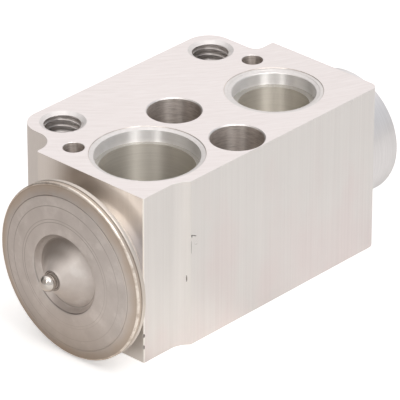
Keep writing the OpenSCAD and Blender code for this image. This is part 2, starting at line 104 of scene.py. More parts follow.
def softbox(name, azimuth, elevation, distance, width, height, power, colour):
    """Area lamp aimed at the valve from a compass and height angle."""
    lamp = bpy.data.lights.new(name, "AREA")
    lamp.shape = "RECTANGLE"
    lamp.size = width * mm
    lamp.size_y = height * mm
    lamp.energy = power
    lamp.color = colour
    box = put_in_scene(name, lamp)
    aim = compass(azimuth, elevation)
    box.location = (view_target + aim * distance) * mm
    box.rotation_mode = "QUATERNION"
    box.rotation_quaternion = aim.to_track_quat("Z", "Y")


softbox("key_right", -106, 54, 700, 190, 420, 1.2, (1.0, 0.985, 0.97))
softbox("key_left", -162, 48, 700, 90, 380, 0.55, (1.0, 0.98, 0.95))
softbox("overhead", -150, 82, 800, 700, 700, 1.03, (1.0, 0.975, 0.97))


def node(tree, kind, inputs=(), **settings):
    """New node with its settings and its inputs, each a value or another node's output."""
    made = tree.nodes.new(kind)
    for key, value in settings.items():
        setattr(made, key, value)
    for key, value in dict(inputs).items():
        if isinstance(value, bpy.types.NodeSocket):
            tree.links.new(value, made.inputs[key])
        else:
            made.inputs[key].default_value = value
    return made


def maths(tree, operation, a, b=0.0, c=0.0, clamp=False):
    """Result of one sum on values or outputs."""
    return node(tree, "ShaderNodeMath", {0: a, 1: b, 2: c}, operation=operation, use_clamp=clamp).outputs[0]


def measured(tree, operation, a, b=(0, 0, 0)):
    """Number that one vector sum gives: a length, a distance or a dot product."""
    return node(tree, "ShaderNodeVectorMath", {0: a, 1: b}, operation=operation).outputs["Value"]


def ramp(tree, value, start, end, low=0.0, high=1.0, soft=True):
    """Low where a value is at start and high where it is at end, held beyond them, and eased there if soft."""
    return node(tree, "ShaderNodeMapRange", {0: value, 1: start, 2: end, 3: low, 4: high},
                interpolation_type="SMOOTHSTEP" if soft else "LINEAR").outputs[0]


def towards(tree, direction, azimuth, elevation, near, far):
    """1 where a direction is within near degrees of a compass and height angle, 0 beyond far degrees."""
    close = measured(tree, "DOT_PRODUCT", direction, compass(azimuth, elevation))
    return ramp(tree, close, math.cos(math.radians(far)), math.cos(math.radians(near)))


def blend_colour(tree, factor, first, second):
    """Mix of two colours, each a triple or another node's output."""
    ends = [end if isinstance(end, bpy.types.NodeSocket) else (*end, 1) for end in (first, second)]
    return node(tree, "ShaderNodeMix", {0: factor, 6: ends[0], 7: ends[1]}, data_type="RGBA").outputs[2]


world = bpy.data.worlds.new("studio")
bpy.context.scene.world = world
world.use_nodes = True
sky = world.node_tree
sky.nodes.clear()
sky_ray = node(sky, "ShaderNodeLightPath").outputs
sky_way = node(sky, "ShaderNodeTexCoord").outputs["Generated"]
studio = blend_colour(sky, towards(sky, sky_way, 35, 60, 20, 80), (0.80, 0.78, 0.77), (1.06, 1.03, 1.02))
studio = blend_colour(sky, towards(sky, sky_way, -36, 30, 5, 35), studio, (0.66, 0.67, 0.70))
studio = blend_colour(sky, towards(sky, sky_way, 108, 2, 24, 54), studio, (0.15, 0.14, 0.13))
studio = blend_colour(sky, towards(sky, sky_way, 160, 30, 10, 42), studio, (0.46, 0.42, 0.39))
studio = blend_colour(sky, sky_ray["Is Camera Ray"], studio, (1, 1, 1))
shown = maths(sky, "ADD", sky_ray["Is Camera Ray"], sky_ray["Is Glossy Ray"], clamp=True)
shown = maths(sky, "ADD", shown, sky_ray["Is Transmission Ray"], clamp=True)
strength = maths(sky, "MULTIPLY_ADD", shown, 0.3, 0.7)
sky_light = node(sky, "ShaderNodeBackground", {"Color": studio, "Strength": strength})
node(sky, "ShaderNodeOutputWorld", {"Surface": sky_light.outputs[0]})


# Floor. A plain sheet of white paper under the valve, which keeps its soft shadow. Metal mirrors it with a
# painted reflection in the room's tones beyond its edge, and a warm patch of painted light by the power head's
# foot.
def material(name):
    """Empty node material, with its node tree."""
    made = bpy.data.materials.new(name)
    made.use_nodes = True
    made.node_tree.nodes.clear()
    return made, made.node_tree


def here(tree):
    """Place on the piece, in metres in the part's frame."""
    return node(tree, "ShaderNodeTexCoord").outputs["Object"]


def vector(tree, operation, *values):
    """Result of one vector sum on values or outputs."""
    return node(tree, "ShaderNodeVectorMath", dict(enumerate(values)), operation=operation).outputs[0]


paper, tree = material("paper")
paper_ray = node(tree, "ShaderNodeLightPath").outputs
away = vector(tree, "NORMALIZE", here(tree))
mirrored = blend_colour(tree, towards(tree, away, 130, 0, 20, 75), (0.86, 0.85, 0.835), (0.72, 0.67, 0.63))
mirrored = blend_colour(tree, towards(tree, away, -20, 0, 20, 60), mirrored, (0.92, 0.91, 0.90))
mirrored = blend_colour(tree, towards(tree, away, -137, 0, 10, 40), mirrored, (1.0, 0.98, 0.95))
# Warm patch of painted light by the power head's foot, seen only in reflections.
warm_reflection_patch = ramp(tree, measured(tree, "DISTANCE", here(tree), (-42 * mm, 4 * mm, 0)), 22 * mm, 2 * mm)
mirrored = blend_colour(tree, warm_reflection_patch, mirrored, (0.90, 0.83, 0.76))
sheet = node(tree, "ShaderNodeBsdfDiffuse", {
    "Color": blend_colour(tree, paper_ray["Is Glossy Ray"], (0.86, 0.86, 0.86), mirrored)})
glow = node(tree, "ShaderNodeEmission", {
    "Color": (1, 1, 1, 1), "Strength": maths(tree, "MULTIPLY", paper_ray["Is Camera Ray"], 0.45)})
lit = node(tree, "ShaderNodeAddShader", {0: sheet.outputs[0], 1: glow.outputs[0]})
node(tree, "ShaderNodeOutputMaterial", {"Surface": lit.outputs[0]})
floor_mesh = bpy.data.meshes.new("floor")
floor_half = 3000 * mm
floor_mesh.from_pydata(
    [(x * floor_half, y * floor_half, 0) for x, y in ((-1, -1), (1, -1), (1, 1), (-1, 1))], [], [(0, 1, 2, 3)]
)
floor = put_in_scene("floor", floor_mesh)
floor_mesh.materials.append(paper)

# Valve body, the bar. Aluminium extruded upright, so its sides carry fine upright lines, then cut to length.
# The outline is the extrusion's section, with a stepped strip beside the power head and hollows by the ears.
bar_low, bar_high = (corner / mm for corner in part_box("valve_body"))
block_h = bar_high.z
head_end = -bar_low.x
front_y = bar_low.y
back_y = bar_high.y
boss_face = 31.9
recess_y = -11.5
recess_l = 7.0
cove_l = 3.7
corner_front_r = 1.7
corner_back_r = 5.0
ear_head = 24.9
ear_boss = 27.2
shoulder_head = 15.3
shoulder_boss = 13.5
shoulder_r = 0.5
hollow_head_r = 4.5
hollow_boss_r = 1.8
corner_break = 0.22
edge_break = 0.012


def arc(x, y, radius, start, end, steps=16):
    """Points of an arc about x, y between two angles in degrees."""
    turns = [math.radians(start + (end - start) * i / steps) for i in range(steps + 1)]
    return [Vector((x + radius * math.cos(t), y + radius * math.sin(t))) for t in turns]


cove_r = (cove_l**2 + (recess_y - front_y) ** 2) / (2 * (recess_y - front_y))
cove_x = recess_l - head_end
cove_turn = math.degrees(math.asin(cove_l / cove_r))
outline = (
    arc(corner_break - head_end, recess_y + corner_break, corner_break, 180, 270, 4)
    + arc(cove_x, recess_y - cove_r, cove_r, 90, 90 - cove_turn, 14)
    + arc(boss_face - corner_front_r, front_y + corner_front_r, corner_front_r, -90, 0)
    + arc(boss_face - corner_break, shoulder_boss - corner_break, corner_break, 0, 90, 4)
    + arc(ear_boss + hollow_boss_r, shoulder_boss + hollow_boss_r, hollow_boss_r, -90, -180)
    + arc(ear_boss - corner_back_r, back_y - corner_back_r, corner_back_r, 0, 90, 24)
    + arc(corner_back_r - ear_head, back_y - corner_back_r, corner_back_r, 90, 180, 24)
    + arc(-ear_head - hollow_head_r, shoulder_head + hollow_head_r, hollow_head_r, 0, -90, 24)
    + arc(shoulder_r - head_end, shoulder_head - shoulder_r, shoulder_r, 90, 180, 6)
)


def inset(points, depth):
    """The same closed outline, moved inwards by a depth."""
    moved = []
    for i, point in enumerate(points):
        before = (point - points[i - 1]).normalized()
        after = (points[(i + 1) % len(points)] - point).normalized()
        normal = Vector((-(before + after).y, (before + after).x)).normalized()
        moved.append(point + normal * depth / max(0.5, normal.dot(Vector((-before.y, before.x)))))
    return moved


def solid(name, points, faces):
    """Closed mesh object from points in millimetres, with its faces turned outwards."""
    mesh = bpy.data.meshes.new(name)
    mesh.from_pydata([Vector(point) * mm for point in points], [], faces)
    shell = bmesh.new()
    shell.from_mesh(mesh)
    bmesh.ops.recalc_face_normals(shell, faces=shell.faces)
    shell.to_mesh(mesh)
    shell.free()
    return put_in_scene(name, mesh)


def shade(made, angle=30):
    """Smooth shading, with edges sharper than the angle kept sharp."""
    mesh = made.data
    mesh.polygons.foreach_set("use_smooth", [True] * len(mesh.polygons))
    mesh.set_sharp_from_angle(angle=math.radians(angle))


def bridge(count, low, high):
    """Faces between two rings of points that start at index low and high."""
    return [(low + i, low + (i + 1) % count, high + (i + 1) % count, high + i) for i in range(count)]


bar_rings = [(edge_break, 0), (0, edge_break), (0, block_h - edge_break), (edge_break, block_h)]
count = len(outline)
block = solid(
    "valve_block",
    [(*point, z) for depth, z in bar_rings for point in inset(outline, depth)],
    [face for ring in range(3) for face in bridge(count, ring * count, (ring + 1) * count)]
    + [tuple(range(count)), tuple(range(3 * count, 4 * count))],
)

# Valve body, the boss. Turned on the same piece of aluminium, round the valve's working axis. It holds the
# chamber of the coil spring and the adjusting screw.
axis_z = 17.7
boss_r = 12.5
boss_x = bar_high.x
boss_chamfer = 0.8
valve_axis = (0, 0, axis_z)
upright = Matrix.Identity(3)
lengthwise = Matrix(((0, 0, 1), (1, 0, 0), (0, 1, 0)))


def lathe(name, profile, segments=144, origin=valve_axis, frame_turn=lengthwise):
    """Turned solid from a closed profile of radius and station, about an axis through the origin."""
    points, rings, faces = [], [], []
    for radius, station in profile:
        rings.append((len(points), radius > 0))
        turns = [math.tau * i / segments for i in range(segments if radius > 0 else 1)]
        points += [(radius * math.cos(t), radius * math.sin(t), station) for t in turns]
    for (low, low_round), (high, high_round) in zip(rings, rings[1:] + rings[:1]):
        for i in range(segments):
            j = (i + 1) % segments
            face = [low + i, low + j] if low_round else [low]
            face += [high + j, high + i] if high_round else [high]
            if len(face) > 2:
                faces.append(face)
    return solid(name, [Vector(origin) + frame_turn @ Vector(point) for point in points], faces)


boss = lathe("boss", [
    (0, 0), (boss_r, 0), (boss_r, boss_x - boss_chamfer), (boss_r - 0.15, boss_x - boss_chamfer * 0.55),
    (boss_r - boss_chamfer * 0.8, boss_x - 0.06), (boss_r - boss_chamfer, boss_x), (0, boss_x)])

# Valve body, the ports. Each is bored with a form tool: a chamfered mouth, a counterbore for the pipe's stub
# and its O-ring, and the passage behind it. The suction passage is through, the liquid bores are blind.
mounts = {mount["name"]: mount for mount in frame["record"]["mounts"]}
over = 1.0
suction_r = 9.0
suction_seat_r = mounts["suction_port_top"]["dims"]["r_mm"]
suction_mouth_r = 10.8
suction_mouth_d = 0.35
liquid_r = 6.75
liquid_seat_r = mounts["liquid_port_top"]["dims"]["r_mm"]
liquid_mouth_r = 9.4
liquid_ring_r = 8.7
liquid_ring_d = 0.15
liquid_mouth_d = 0.45
seat_d = 2.8
chamber_r = 6.5
port_floor_wall = 1.0


def place_of(name):
    """A mount's place in millimetres."""
    return Vector(mounts[name]["pos_m"]) / mm


def port(name, face_z, floor_z, bore_r, mouth):
    """Cutter for a port that opens at face_z and ends at floor_z."""
    seat_r = mounts[name]["dims"]["r_mm"]
    way = 1 if face_z > floor_z else -1
    steps = [(0, floor_z), (bore_r, floor_z), (bore_r, face_z - way * seat_d), (seat_r, face_z - way * seat_d)]
    steps += [(radius, face_z - way * depth) for radius, depth in mouth]
    steps.append((0, face_z + way * over))
    spot = place_of(name)
    return lathe(name + "_cut", steps, 192, (spot.x, spot.y, 0), upright)


suction_mouth = [(suction_seat_r, suction_mouth_d + 0.05), (suction_seat_r + 0.12, suction_mouth_d),
                 (suction_mouth_r - 0.12, 0.14), (suction_mouth_r - 0.1, 0.1), (suction_mouth_r, 0),
                 (suction_mouth_r, -over)]
liquid_mouth = [(liquid_seat_r, liquid_mouth_d + 0.05), (liquid_seat_r + 0.12, liquid_mouth_d - 0.06),
                (liquid_ring_r - 0.05, liquid_ring_d + 0.05), (liquid_ring_r, liquid_ring_d),
                (liquid_mouth_r - 0.12, liquid_ring_d - 0.04), (liquid_mouth_r, 0), (liquid_mouth_r, -over)]
cutters = [
    port("suction_port_top", block_h, block_h / 2 - over, suction_r, suction_mouth),
    port("suction_port_bottom", 0, block_h / 2 + over, suction_r, suction_mouth),
    port("liquid_port_top", block_h, axis_z + chamber_r + port_floor_wall, liquid_r, liquid_mouth),
    port("liquid_port_bottom", 0, axis_z - chamber_r - port_floor_wall, liquid_r, liquid_mouth),
]

# Valve body, the plain holes. Two clearance holes for the mounting bolts, reamed right through, and two blind
# dowel holes.
bolt_r = mounts["bolt_holes"]["dims"]["hole_r_mm"]
bolt_chamfer = 0.2
dowel_r = mounts["dowel_holes"]["dims"]["hole_r_mm"]
dowel_chamfer = 0.08
dowel_depth = 7.0
drill_point = 118


def pair(name):
    """The two hole centres of a bolt pattern, on the top face."""
    dims = mounts[name]["dims"]
    half = Vector((dims.get("spacing_x_mm", 0) / 2, dims.get("spacing_y_mm", 0) / 2))
    centre = place_of(name).xy
    return [centre - half, centre + half]


def plain_hole(name, spot, radius, chamfer, floor_z, sink=None):
    """Cutter for a round hole from the top face down to floor_z, or right through, with chamfers as deep as
    wide unless sink says less."""
    sink = sink or chamfer
    through = [(0, -over), (radius + chamfer, -over), (radius + chamfer, 0), (radius, sink)]
    blind = [(0, floor_z - radius / math.tan(math.radians(drill_point / 2))), (radius, floor_z)]
    mouth = [(radius, block_h - sink), (radius + chamfer, block_h), (radius + chamfer, block_h + over),
             (0, block_h + over)]
    return lathe(name, (through if floor_z < 0 else blind) + mouth, 96, (*spot, 0), upright)


for i, spot in enumerate(pair("bolt_holes")):
    cutters.append(plain_hole(f"bolt_hole_cut_{i}", spot, bolt_r, bolt_chamfer, -1))
for i, spot in enumerate(pair("dowel_holes")):
    cutters.append(plain_hole(f"dowel_cut_{i}", spot, dowel_r, dowel_chamfer, block_h - dowel_depth))

# Valve body, the tapped holes in the ears. An M8 coarse thread, tapped from end to end behind a flat
# countersink. The bolts of the pipe block screw into them.
tap_pitch = 1.25
tap_crest_r = mounts["m8_threads"]["dims"]["hole_r_mm"]
tap_root_r = 4.0
tap_sink_r = 4.4
tap_sink = 0.45
run_out = 0.9


def thread_cut(name, crest_r, root_r, pitch, start, end, steps, origin=valve_axis, frame_turn=lengthwise):
    """Cutter for an inside thread: the groove between two crests, wound from start to end."""
    inner_r = crest_r - 0.12
    slope = math.tan(math.radians(30))
    root_half = pitch / 14
    inner_half = min(root_half + (root_r - inner_r) * slope, pitch * 0.49)
    section = [(inner_r, -inner_half), (root_r, -root_half), (root_r, root_half), (inner_r, inner_half)]
    total = int((end - start) / pitch * steps)
    points, faces = [], []
    for i in range(total + 1):
        t = math.tau * i / steps
        rise = start + pitch * i / steps
        points += [(r * math.cos(t), r * math.sin(t), rise + s) for r, s in section]
    for i in range(total):
        faces += bridge(4, 4 * i, 4 * (i + 1))
    faces += [(0, 1, 2, 3), tuple(4 * total + k for k in range(4))]
    return solid(name, [Vector(origin) + frame_turn @ Vector(point) for point in points], faces)


for i, spot in enumerate(pair("m8_threads")):
    cutters.append(plain_hole(f"tap_drill_{i}", spot, tap_crest_r, tap_sink_r - tap_crest_r, -1, tap_sink))
    cutters.append(thread_cut(f"tap_{i}", tap_crest_r, tap_root_r, tap_pitch, -run_out, block_h + run_out, 36,
                              (*spot, 0), upright))

# Valve body, the bores on the working axis. From the head's side: the neck's tapped bore with its O-ring
# pocket and the rod's guide. From the boss: the screw's tapped bore, the spring's chamber, the seat's cone
# and the orifice.
port_x = place_of("liquid_port_top").x
neck_bore_r = 8.25
neck_pocket_r = 10.1
neck_pocket_d = 1.5
neck_pitch = 1.5
guide_r = 1.25
rod_pocket_r = 2.6
rod_pocket_x = -5.6
outlet_r = 3.0
outlet_x = 3.5
orifice_r = 1.7
orifice_x = 14.6
seat_x = 16.0
seat_w = 1.0
screw_bore_r = 7.5
screw_bore_x = boss_x - 10.1
screw_mouth = 0.8
screw_pitch = 1.0
screw_thread_d = 0.5
cutters.append(lathe("head_side_cut", [
    (0, -head_end - over), (neck_pocket_r, -head_end - over), (neck_pocket_r, neck_pocket_d - head_end),
    (neck_bore_r, neck_pocket_d - head_end), (neck_bore_r, -port_x), (rod_pocket_r, -port_x),
    (rod_pocket_r, rod_pocket_x), (guide_r, rod_pocket_x), (guide_r, outlet_x), (outlet_r, outlet_x),
    (outlet_r, orifice_x), (orifice_r, orifice_x), (orifice_r, seat_x), (0, seat_x)], 96))
cutters.append(lathe("boss_side_cut", [
    (0, seat_x - 0.01), (orifice_r, seat_x), (orifice_r + seat_w, seat_x + seat_w),
    (chamber_r, seat_x + seat_w), (chamber_r, screw_bore_x), (screw_bore_r, screw_bore_x),
    (screw_bore_r, boss_x - screw_mouth), (screw_bore_r + screw_mouth, boss_x),
    (screw_bore_r + screw_mouth, boss_x + over), (0, boss_x + over)]))
cutters.append(thread_cut("screw_tap", screw_bore_r, screw_bore_r + screw_thread_d, screw_pitch,
                          screw_bore_x + 0.6, boss_x + 0.6, 72))
cutters.append(thread_cut("neck_tap", neck_bore_r, neck_bore_r + 0.6, neck_pitch, 1.7 - head_end,
                          5.4 - head_end, 96))
for name, x, radius, low, high in (("outlet_drill", 12.4, 1.9, axis_z, 26.2),
                                   ("inlet_drill", 21.5, 2.2, 9.2, axis_z)):
    cutters.append(lathe(name, [(0, low), (radius, low), (radius, high), (0, high)], 48, (x, 0, 0), upright))


# Valve body, the knocks that the photo shows: a hooked nick and a dent beside the cove, small dents on the
# front face and its upper edge, and two bites out of the corner beside the power head.
def ball(name, shape, subdivisions):
    """Sphere of radius one in millimetres, given its size and place by a matrix."""
    sphere = bmesh.new()
    placed = Matrix.Scale(mm, 4) @ shape
    bmesh.ops.create_icosphere(sphere, subdivisions=subdivisions, radius=1.0, matrix=placed)
    mesh = bpy.data.meshes.new(name)
    sphere.to_mesh(mesh)
    sphere.free()
    return put_in_scene(name, mesh)


def dent(name, place, half, lean=0.0):
    """Cutter for a worn spot: an egg shape of three half sizes, leant in the plane of the front face."""
    leant = Matrix.Rotation(math.radians(lean), 4, "Y") @ Matrix.Diagonal((*half, 1))
    return ball(name, Matrix.Translation(Vector(place)) @ leant, 3)


knocks = [dent(*worn) for worn in (
    ("nick_tail", (-18.85, front_y, 22.56), (0.68, 0.16, 0.10), 28),
    ("nick_head", (-19.47, front_y, 22.64), (0.13, 0.26, 0.32), -12),
    ("nick_line", (-19.56, front_y, 20.4), (0.045, 0.1, 1.4)),
    ("dent_low", (-18.2, front_y, 20.85), (0.5, 0.05, 0.34)),
    ("scratch", (-20.3, -12.68, 14.0), (0.13, 0.14, 0.75)),
    ("edge_dent", (-12.5, front_y, 33.75), (0.4, 0.08, 0.34)),
    ("dot_0", (4.4, front_y, 23.8), (0.26, 0.05, 0.24)),
    ("dot_1", (7.2, front_y, 22.7), (0.24, 0.05, 0.22)),
    ("dot_2", (5.5, front_y, 22.4), (0.3, 0.05, 0.24)),
    ("edge_dent_1", (13.3, front_y, 33.85), (0.3, 0.08, 0.2)),
    ("edge_dent_2", (17.2, front_y, 33.7), (0.22, 0.1, 0.16)),
    ("edge_dent_3", (24.4, front_y, 33.8), (0.6, 0.12, 0.14)),
    ("edge_dent_4", (24.0, front_y, 33.2), (0.3, 0.06, 0.1)),
    ("bite_0", (-head_end, recess_y, 5.7), (0.3, 0.26, 0.4)),
    ("bite_1", (-head_end, recess_y, 3.3), (0.24, 0.22, 0.5)),
)]


def combine(target, steps):
    """Adds, or cuts away, solids from the target one after another."""
    for tool, action in steps:
        step = target.modifiers.new(tool.name, "BOOLEAN")
        step.operation = action
        step.solver = "MANIFOLD"
        step.object = tool
    bpy.context.view_layer.update()
    mesh = bpy.data.meshes.new_from_object(target.evaluated_get(bpy.context.evaluated_depsgraph_get()))
    target.modifiers.clear()
    mesh.materials.clear()
    target.data = mesh
    for tool, _ in steps:
        bpy.data.objects.remove(tool)


combine(block, [(boss, "UNION")] + [(cutter, "DIFFERENCE") for cutter in cutters + knocks])
shade(block, 23)

# Valve body, its finishes. Every tool leaves fine parallel lines that are even along the cut and change fast
# across it. The group reads one noise in coordinates that a finish has stretched along its own cut: saw, die,
# form tool, reamer, tap or lathe.
marks = bpy.data.node_groups.new("tool marks", "ShaderNodeTree")
for socket, side, kind in (("Place", "INPUT", "Vector"), ("Lines", "OUTPUT", "Float"),
                           ("Patches", "OUTPUT", "Float")):
    marks.interface.new_socket(socket, in_out=side, socket_type="NodeSocket" + kind)


def noise(tree, place, scale, detail=2.0, rough=0.5):
    """Soft noise at a place."""
    return node(tree, "ShaderNodeTexNoise", {
        "Vector": place, "Scale": scale, "Detail": detail, "Roughness": rough}).outputs[0]


given = node(marks, "NodeGroupInput")
node(marks, "NodeGroupOutput", {"Lines": noise(marks, given.outputs["Place"], 1.0, 5.0, 0.68),
                                "Patches": noise(marks, here(marks), 190.0, 3.0)})


def straight(*per_metre):
    """Place for straight tool lines: how fast they change along X, Y and Z."""
    return lambda tree: vector(tree, "MULTIPLY", here(tree), per_metre)


def metal(name, dark, light, rough, place, depth=0.02, grain=None, spin=0.0, patch=0.25, tint=None, bare=1.0,
          facing=None):
    """Bare metal with tool lines: two tones, roughness, place for the lines and their depth in mm. Grain is the
    way across the lines, along which a highlight is drawn out by spin. Tint changes the colour afterwards, and
    facing gives the way in which the tool's lands face."""
    made, tree = material(name)
    cut = node(tree, "ShaderNodeGroup", {"Place": place(tree)}, node_tree=marks)
    tone = maths(tree, "MULTIPLY_ADD", cut.outputs["Patches"], patch,
                 maths(tree, "MULTIPLY", cut.outputs["Lines"], 1.0 - patch))
    tone = ramp(tree, tone, 0.3, 0.7, soft=False)
    colour = blend_colour(tree, tone, dark, light)
    if tint:
        colour = tint(tree, colour)
    roughness = ramp(tree, tone, 0.0, 1.0, rough * 1.15, rough * 0.9, soft=False)
    bump = node(tree, "ShaderNodeBump", {
        "Height": cut.outputs["Lines"], "Distance": depth * mm, "Strength": 0.6})
    if facing:
        tree.links.new(facing(tree), bump.inputs["Normal"])
    shader = node(tree, "ShaderNodeBsdfPrincipled", {
        "Base Color": colour, "Metallic": bare, "Roughness": roughness, "Normal": bump.outputs[0]})
    if grain:
        shader.inputs["Anisotropic"].default_value = spin
        across = grain(tree) if callable(grain) else node(
            tree, "ShaderNodeCombineXYZ", enumerate(grain)).outputs[0]
        tree.links.new(across, shader.inputs["Tangent"])
    node(tree, "ShaderNodeOutputMaterial", {"Surface": shader.outputs[0]})
    return made


saw_centre = (92, 123, 0)


def away_from_saw(tree):
    """Vector from the saw's centre, in the plane of the cut."""
    from_saw = vector(tree, "SUBTRACT", here(tree), tuple(value * mm for value in saw_centre))
    return vector(tree, "MULTIPLY", from_saw, (1, 1, 0))


def swept(tree):
    """Place for the arcs of a saw blade: fast along its radius, slow round it."""
    from_saw = away_from_saw(tree)
    sway = maths(tree, "MULTIPLY", noise(tree, here(tree), 110.0), 1.6)
    reach = maths(tree, "MULTIPLY_ADD", measured(tree, "LENGTH", from_saw), 2100.0, sway)
    way = vector(tree, "MULTIPLY", vector(tree, "NORMALIZE", from_saw), (26, 26, 26))
    return vector(tree, "ADD", way, node(tree, "ShaderNodeCombineXYZ", {2: reach}).outputs[0])


def across_upright(tree):
    """Level vector along a wall, across lines that run upright."""
    facing = node(tree, "ShaderNodeNewGeometry").outputs["True Normal"]
    return vector(tree, "NORMALIZE", vector(tree, "CROSS_PRODUCT", (0, 0, 1), facing))


def height(tree):
    """Height above the base face, in metres."""
    return node(tree, "ShaderNodeSeparateXYZ", {0: here(tree)}).outputs[2]


def blushed(tree, colour):
    """Soft pinkish clouds, more of them low on the walls."""
    cloud = noise(tree, vector(tree, "MULTIPLY", here(tree), (1, 1, 0.45)), 120.0, 3.0)
    cloud = maths(tree, "SUBTRACT", cloud, maths(tree, "MULTIPLY", height(tree), 12.0))
    pink = node(tree, "ShaderNodeMix", {0: 1.0, 6: colour, 7: (1.0, 0.955, 0.96, 1)}, data_type="RGBA",
                blend_type="MULTIPLY").outputs[2]
    return blend_colour(tree, ramp(tree, cloud, 0.22, 0.58), colour, pink)


def end_wall_reflection_and_patch(tree, colour):
    """Brown painted reflection of the head's back under the end wall's top edge; a grey patch by the front
    corner.
    """
    for y, z, far, near, depth, dull in ((4, 33, 10, 1, 0.8, (0.33, 0.285, 0.245)),
                                         (-11, 21, 9.5, 3, 0.9, (0.52, 0.525, 0.565))):
        reach = measured(tree, "DISTANCE", here(tree), (-head_end * mm, y * mm, z * mm))
        amount = maths(tree, "MULTIPLY", ramp(tree, reach, far * mm, near * mm), depth)
        colour = blend_colour(tree, amount, colour, dull)
    return colour


def into_port(tree):
    """Way in which the lands of the form tool face: towards the port's axis and a little upwards."""
    side = maths(tree, "SIGN", node(tree, "ShaderNodeSeparateXYZ", {0: here(tree)}).outputs[0])
    centre = node(tree, "ShaderNodeCombineXYZ", {0: maths(tree, "MULTIPLY", side, port_x * mm)}).outputs[0]
    inwards = vector(tree, "MULTIPLY", vector(tree, "SUBTRACT", centre, here(tree)), (1, 1, 0))
    return vector(tree, "NORMALIZE", vector(tree, "ADD", vector(tree, "NORMALIZE", inwards), (0, 0, 0.2)))


sawn = metal("sawn aluminium", (0.765, 0.72, 0.71), (0.855, 0.815, 0.81), 0.40, swept, 0.007,
             lambda tree: vector(tree, "NORMALIZE", away_from_saw(tree)), 0.5, 0.2)
extruded = metal("extruded aluminium", (0.782, 0.765, 0.752), (0.815, 0.80, 0.785), 0.44,
                 straight(2300, 2300, 22), 0.002, across_upright, 0.6, 0.12, blushed)
# Its tint paints a reflection of the power head's back onto the end wall, and a grey patch.
end_wall = metal("smooth extruded aluminium", (0.80, 0.775, 0.75), (0.85, 0.825, 0.80), 0.34,
                 straight(2300, 2300, 22), 0.002, across_upright, 0.4, 0.12, end_wall_reflection_and_patch)
bored = metal("bored aluminium", (0.84, 0.83, 0.82), (0.94, 0.93, 0.92), 0.36, straight(60, 60, 5200), 0.004,
              (0, 0, 1), 1.0, bare=0.9, facing=into_port)
# Painted shade: the lower bore walls are painted darker and olive, as deep in a bore.
deep = metal("deep bored aluminium", (0.68, 0.645, 0.58), (0.77, 0.735, 0.665), 0.52, straight(60, 60, 5200),
             0.001, (0, 0, 1), 0.9)
# Painted shade: the port shoulder is darkened to the lower walls' tone.
shoulder = metal("port shoulder", (0.50, 0.48, 0.445), (0.57, 0.55, 0.51), 0.5, straight(900, 900, 60), 0.001)
drilled = metal("drilled aluminium", (0.42, 0.37, 0.34), (1.0, 0.935, 0.88), 0.42, straight(460, 460, 2900),
                0.06, (0, 0, 1), 0.9, 0.35)
faced = metal("faced aluminium", (0.68, 0.66, 0.65), (0.78, 0.76, 0.75), 0.46, straight(900, 900, 60), 0.002)
tapped = metal("tapped aluminium", (0.56, 0.52, 0.50), (1.0, 0.97, 0.95), 0.31, straight(420, 420, 1400), 0.01,
               (0, 0, 1), 0.7)
turned = metal("turned aluminium", (0.74, 0.73, 0.735), (0.86, 0.85, 0.855), 0.36, straight(4200, 70, 70),
               0.005, (1, 0, 0), 0.7)
# Near white on the front corner beside the power head: edge wear with a painted highlight.
edge_wear_and_highlight = metal("rubbed edge", (0.93, 0.90, 0.865), (0.99, 0.965, 0.94), 0.5, straight(900, 900, 60), 0.002)
# Painted shade: the walls of the nick, the scratch and the bites are painted dark.
knock_shade = metal("knocked aluminium", (0.20, 0.18, 0.165), (0.42, 0.39, 0.37), 0.6, straight(900, 900, 900),
                0.01)
finishes = [sawn, extruded, end_wall, edge_wear_and_highlight, bored, shoulder, deep, drilled, tapped, faced, turned,
            knock_shade]
for finish in finishes:
    block.data.materials.append(finish)
ports = [(place_of("suction_port_top").xy, suction_mouth_r), (place_of("liquid_port_top").xy, liquid_mouth_r)]
plain = [(spot, bolt_r + bolt_chamfer) for spot in pair("bolt_holes")]
plain += [(spot, dowel_r + 0.1) for spot in pair("dowel_holes")]
plain += [(spot, tap_sink_r) for spot in pair("m8_threads")]
dark_spots = [((-18.8, front_y, 22.5), 1.3), ((-19.56, front_y, 20.4), 1.6), ((-20.3, -12.6, 14.0), 0.85),
              ((-head_end, recess_y, 4.5), 2.0)]
slack = 0.02


def finish_of(centre, normal, farthest):
    """The finish of one of the block's faces, from its middle, the way it faces and its farthest corner."""
    off_axis = math.hypot(centre.y, centre.z - axis_z)
    if centre.x > boss_face + slack:
        return turned
    if abs(normal.z) > 0.9 and not slack < centre.z < block_h - slack:
        return sawn
    if any((centre.xy - spot).length < radius + 0.05 for spot, radius in ports):
        if abs(normal.z) > 0.2 and (centre.z > block_h - 0.6 or centre.z < 0.6):
            outermost = min(abs((centre.xy - spot).length - radius) for spot, radius in ports) < 0.1
            return drilled if outermost and abs(normal.z) < 0.97 else faced
        if abs(normal.z) > 0.5:
            return shoulder
        return deep if seat_d + 0.05 < centre.z < block_h - seat_d - 0.05 else bored
    for spot, radius in plain:
        if (centre.xy - spot).length < radius + 0.05:
            if abs(normal.z) > 0.3 and not 0.3 < centre.z < block_h - 0.3:
                return faced
            return tapped if radius == tap_sink_r else drilled
    # Walls of the knocks near the dark spots take the painted shade.
    if centre.y < recess_y + 0.6 and farthest < 0.5 and abs(normal.y) < 0.96 and abs(normal.z) < 0.99:
        if any((centre - Vector(spot)).length < reach for spot, reach in dark_spots):
            return knock_shade
    inside = slack - head_end < centre.x < boss_face - slack and off_axis < neck_pocket_r + 0.1
    if inside and front_y + 2.5 < centre.y < back_y - 2.5:
        return turned
    # The front corner beside the power head takes the painted highlight.
    if centre.x < 0.3 - head_end and centre.y < recess_y + 0.2:
        return edge_wear_and_highlight
    return end_wall if centre.x < 0.05 - head_end else extruded


for face in block.data.polygons:
    farthest = max((block.data.vertices[corner].co - face.center).length for corner in face.vertices) / mm
    face.material_index = finishes.index(finish_of(face.center / mm, face.normal, farthest))
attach(block, "block")
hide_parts("valve_body")
